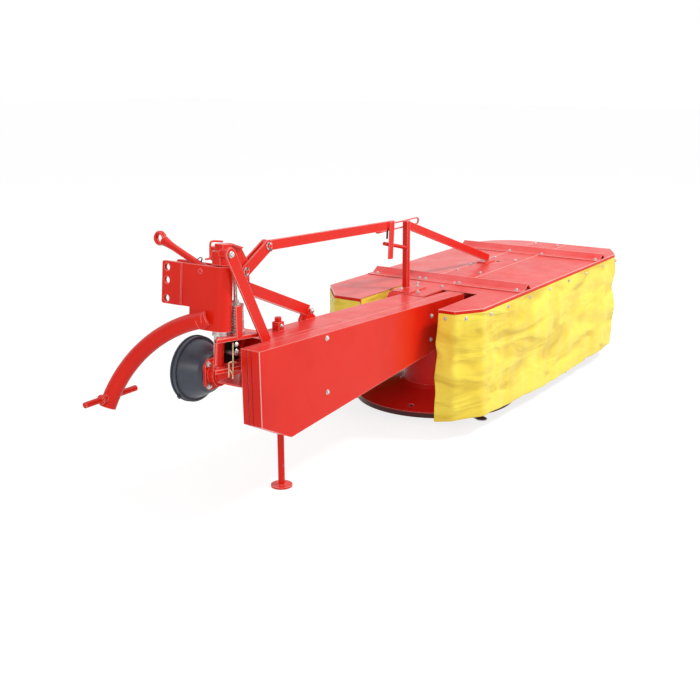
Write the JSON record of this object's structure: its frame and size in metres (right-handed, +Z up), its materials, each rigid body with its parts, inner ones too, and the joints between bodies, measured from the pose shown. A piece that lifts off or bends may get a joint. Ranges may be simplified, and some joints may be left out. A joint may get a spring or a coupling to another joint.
{
  "type": "two-drum rotary mower for a three-point hitch",
  "caption": "Tractor-mounted rotary drum mower with belt-driven drums, sliding dishes, a cloth-skirted deck, swing-away hitch head and a parking leg",
  "frame": {"origin": "middle of the footprint, on the ground", "axes": "+X outward along the deck away from the hitch, +Y forward to the tractor, +Z up"},
  "size_m": [3.2814, 0.8326, 1.0119],
  "materials": {
    "red_paint": "gloss",
    "zinc": "satin",
    "steel": "satin",
    "cone_plastic": "satin",
    "yellow_cloth": "matte"
  },
  "bodies": {
    "beam_frame": {"main_beam": "red_paint", "guard_cover": "red_paint", "guard_back": "red_paint", "leg_sleeve": "red_paint", "swing_post": "zinc", "swing_fork": "red_paint", "mast_plate": "red_paint", "mast_strut": "red_paint", "mast_brace": "red_paint", "relief_spring": "zinc", "spring_rod": "zinc", "spring_bracket": "zinc", "input_housing": "red_paint", "shaft_guard": "cone_plastic", "hinge_pin": "zinc"},
    "parking_leg": {"park_leg": "red_paint"},
    "input_drive": {"input_shaft": "steel"},
    "cutter_unit": {"gear_beam": "red_paint", "beam_cover": "red_paint", "deck_front": "red_paint", "deck_rear": "red_paint", "rib_inner": "red_paint", "rib_outer": "red_paint", "skirt_rear": "yellow_cloth", "skirt_front": "yellow_cloth", "skirt_slot": "yellow_cloth", "lift_post": "red_paint", "lift_stay": "red_paint", "drum_column_inner": "red_paint", "drum_column_outer": "red_paint"},
    "inner_drum": {"drum_inner": "red_paint", "knives_inner": "steel"},
    "outer_drum": {"drum_outer": "red_paint", "knives_outer": "steel"},
    "inner_dish": {"dish_inner": "steel"},
    "outer_dish": {"dish_outer": "steel"},
    "lever": {"lift_lever": "red_paint"},
    "bar": {"lift_bar": "red_paint", "bar_latch": "red_paint"},
    "head": {"hitch_head": "red_paint", "left_arm": "red_paint", "right_arm": "red_paint"},
    "stay": {"stay_rod": "red_paint"}
  },
  "joints": [
    {"name": "leg_slide", "type": "slide", "parent": "beam_frame", "child": "parking_leg", "axis": [0, 0, 1], "range_m": [0, 0.3]},
    {"name": "cutter_float", "type": "hinge", "parent": "beam_frame", "child": "cutter_unit", "pos_m": [0.05735, -0.053, 0.476], "axis": [0, -1, 0], "range_deg": [-8, 15]},
    {"name": "inner_drum_spin", "type": "hinge", "parent": "cutter_unit", "child": "inner_drum", "pos_m": [0.28735, 0.002, 0.438], "axis": [0, 0, 1], "continuous": true},
    {"name": "outer_drum_spin", "type": "hinge", "parent": "cutter_unit", "child": "outer_drum", "pos_m": [1.18735, 0.002, 0.438], "axis": [0, 0, 1], "continuous": true},
    {"name": "inner_dish_spin", "type": "hinge", "parent": "cutter_unit", "child": "inner_dish", "pos_m": [0.28735, 0.002, 0], "axis": [0, 0, 1], "continuous": true},
    {"name": "outer_dish_spin", "type": "hinge", "parent": "cutter_unit", "child": "outer_dish", "pos_m": [1.18735, 0.002, 0], "axis": [0, 0, 1], "continuous": true},
    {"name": "input_spin", "type": "hinge", "parent": "beam_frame", "child": "input_drive", "pos_m": [-1.11765, 0.154, 0.461], "axis": [0, 1, 0], "continuous": true},
    {"name": "lever_turn", "type": "hinge", "parent": "beam_frame", "child": "lever", "pos_m": [-1.09465, 0.026, 0.858], "axis": [0, -1, 0], "range_deg": [-25.84, 48.45]},
    {"name": "bar_turn", "type": "hinge", "parent": "lever", "child": "bar", "pos_m": [-0.95965, 0.026, 0.931], "axis": [0, -1, 0], "range_deg": [-52.65, 28.08]},
    {"name": "head_swing", "type": "hinge", "parent": "beam_frame", "child": "head", "pos_m": [-1.32765, -0.05, 0.62], "axis": [0.1045, 0, 0.9945], "range_deg": [0, 90]},
    {"name": "stay_turn", "type": "hinge", "parent": "head", "child": "stay", "pos_m": [-1.2987, 0.013, 0.89548], "axis": [0.9945, 0, -0.1045], "range_deg": [-15, 60]}
  ],
  "couplings": [
    {"joint": "outer_drum_spin", "follows": "inner_drum_spin", "ratio": -1},
    {"joint": "input_spin", "follows": "inner_drum_spin", "ratio": 0.31},
    {"joint": "lever_turn", "follows": "cutter_float", "ratio": 3.23},
    {"joint": "bar_turn", "follows": "cutter_float", "ratio": -3.51}
  ]
}
